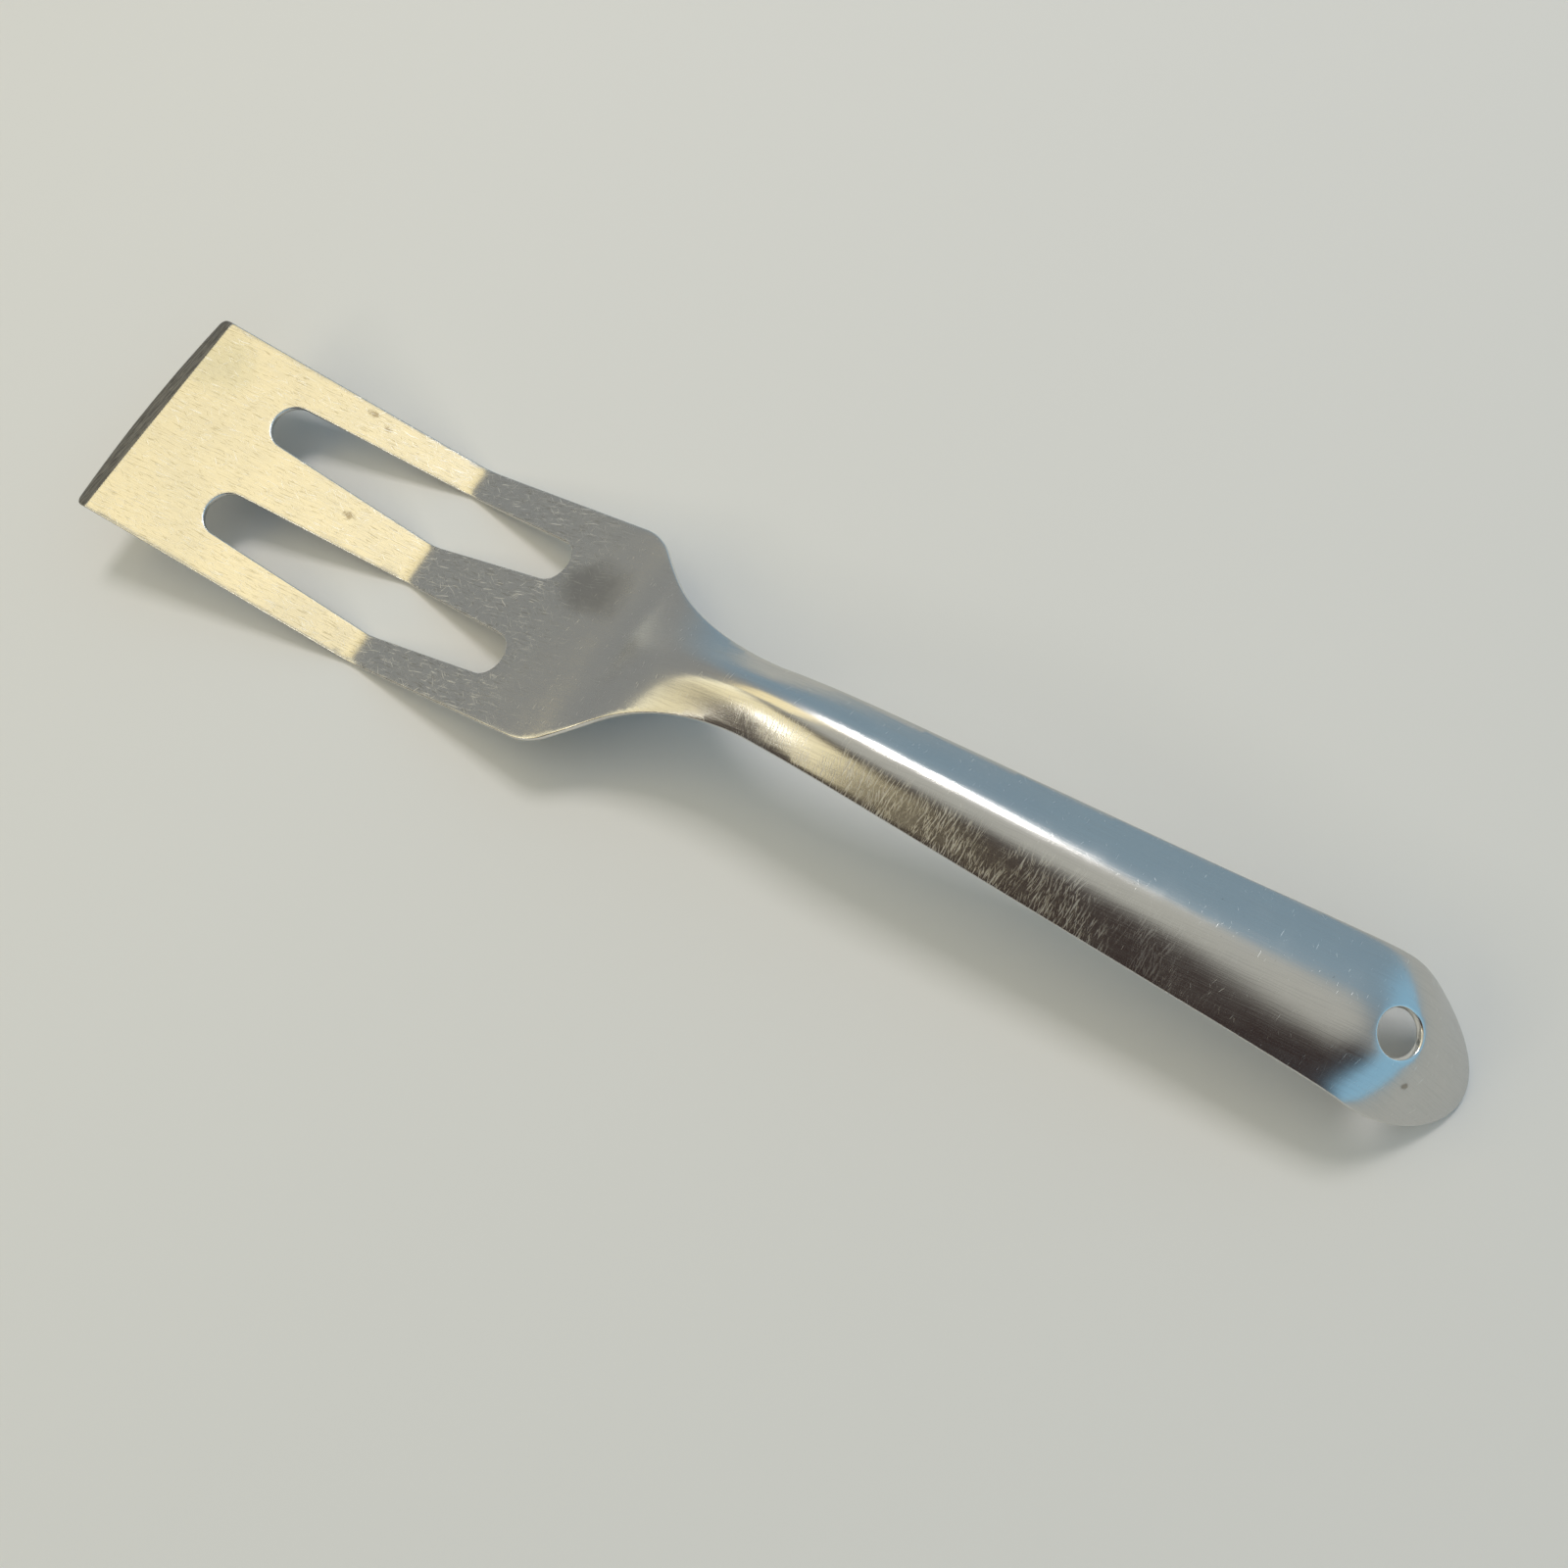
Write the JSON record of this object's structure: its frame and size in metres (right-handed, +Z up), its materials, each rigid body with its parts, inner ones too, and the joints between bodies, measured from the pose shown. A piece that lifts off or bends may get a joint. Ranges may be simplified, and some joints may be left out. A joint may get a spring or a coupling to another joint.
{
  "type": "grill spatula",
  "caption": "Slotted grill spatula pressed from one strip of stainless sheet, with a cranked blade, a channel handle and a hanging hole.",
  "frame": {"origin": "under the middle of the piece, on the surface that it rests on", "axes": "+X along the spatula from the blade to the handle end, +Z up, the piece is mirrored across Y"},
  "size_m": [0.3047, 0.056, 0.03],
  "materials": {
    "spatula": "worn satin stainless steel with fine scratches"
  },
  "bodies": {
    "root": {"spatula": "spatula"}
  },
  "joints": []
}
